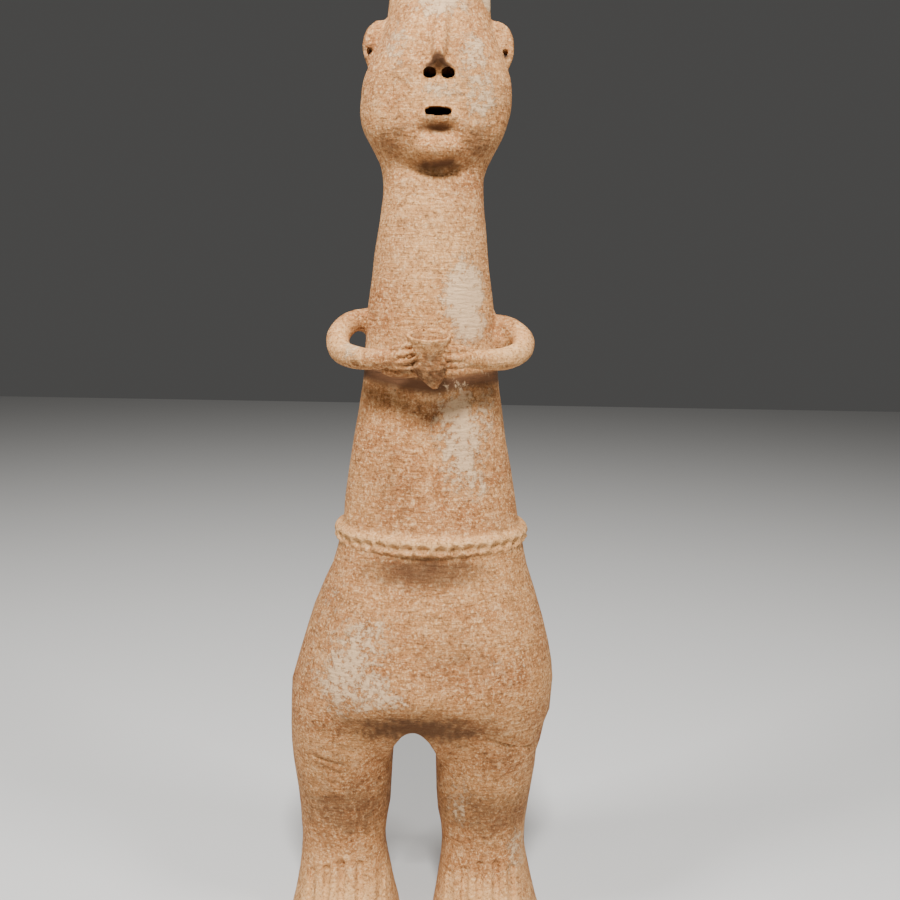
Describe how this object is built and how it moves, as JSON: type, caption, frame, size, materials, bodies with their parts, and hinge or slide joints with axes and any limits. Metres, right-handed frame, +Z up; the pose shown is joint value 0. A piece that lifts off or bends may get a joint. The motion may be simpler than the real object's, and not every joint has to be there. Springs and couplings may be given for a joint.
{
  "type": "clay figurine",
  "caption": "Standing long-necked clay figure with arms bent round a small cup, a pinched waist band, flat ears and bare feet.",
  "frame": {"origin": "on the floor under the middle of the figure's box", "axes": "+Z up to the crown, the figure faces -Y, +X is to the viewer's right"},
  "size_m": [0.2266, 0.1644, 0.7998],
  "materials": {
    "fired_clay": "matt unglazed fired clay with an old brown patina and lime deposits"
  },
  "bodies": {
    "root": {"clay_figure": "fired_clay"}
  },
  "joints": []
}
